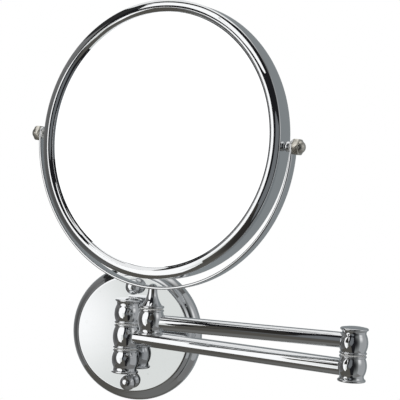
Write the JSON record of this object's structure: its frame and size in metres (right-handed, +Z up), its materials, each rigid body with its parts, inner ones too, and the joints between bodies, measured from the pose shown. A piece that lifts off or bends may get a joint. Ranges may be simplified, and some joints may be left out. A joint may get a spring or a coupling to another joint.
{
  "type": "extendable shaving mirror",
  "caption": "Round two-sided mirror that tilts in a U-shaped yoke, on a folding tube arm that swings from a round wall plate.",
  "frame": {"origin": "middle of the wall bracket's back face, on the wall, half-way between the wall-screw holes", "axes": "+X right along the wall seen from the front, +Y into the wall, +Z up"},
  "size_m": [0.2699, 0.1109, 0.3031],
  "materials": {
    "chrome": "polished",
    "nickel": "polished",
    "steel": "plain",
    "nylon": "matte",
    "mirror": "silvered",
    "board": "pressed fibre"
  },
  "bodies": {
    "wall_unit": {"wall_bracket": "steel", "wall_plate": "chrome", "backing_plate": "steel", "ball_screw_upper": "chrome", "ball_screw_lower": "chrome", "column_screw_upper": "steel", "column_screw_lower": "steel", "column_upper_barrel": "chrome", "column_lower_barrel": "chrome", "column_bolt": "steel", "column_cap": "chrome", "column_washer_upper": "nylon", "column_washer_lower": "nylon"},
    "lower_arm": {"lower_arm_hub": "chrome", "hub_bush": "nylon", "lower_arm_tube": "chrome", "elbow_lower_barrel": "chrome", "elbow_bolt": "steel", "elbow_washer": "nylon"},
    "upper_arm": {"elbow_upper_barrel": "chrome", "elbow_bush": "nylon", "elbow_cap": "chrome", "upper_arm_tube": "chrome", "stem_barrel": "chrome", "stem_plug": "nylon"},
    "yoke_unit": {"spindle": "chrome", "stem_nut": "steel", "stem_washer": "nylon", "yoke": "chrome", "yoke_screw": "chrome", "tilt_washer_left": "nylon", "tilt_washer_right": "nylon"},
    "mirror_head": {"drum_band": "chrome", "front_bezel": "chrome", "rear_bezel": "chrome", "plain_mirror": "mirror", "magnifying_mirror": "mirror", "backing_board": "board", "glass_spacer": "nylon", "pivot_stud_left": "steel", "pivot_stud_right": "steel", "pivot_collar_left": "chrome", "pivot_collar_right": "chrome", "cap_nut_left": "nickel", "cap_nut_right": "nickel"}
  },
  "joints": [
    {"name": "lower_arm_swing", "type": "hinge", "parent": "wall_unit", "child": "lower_arm", "pos_m": [0, -0.0258, 0], "axis": [0, 0, 1], "range_deg": [-135, 10]},
    {"name": "elbow_fold", "type": "hinge", "parent": "lower_arm", "child": "upper_arm", "pos_m": [0.18309, -0.07658, 0.019], "axis": [0, 0, 1], "range_deg": [-15, 164]},
    {"name": "mirror_swivel", "type": "hinge", "parent": "upper_arm", "child": "yoke_unit", "pos_m": [0.03509, -0.07658, 0.019], "axis": [0, 0, 1], "continuous": true},
    {"name": "mirror_tilt", "type": "hinge", "parent": "yoke_unit", "child": "mirror_head", "pos_m": [0.03509, -0.07658, 0.15035], "axis": [0.9668, -0.2554, 0], "continuous": true}
  ]
}
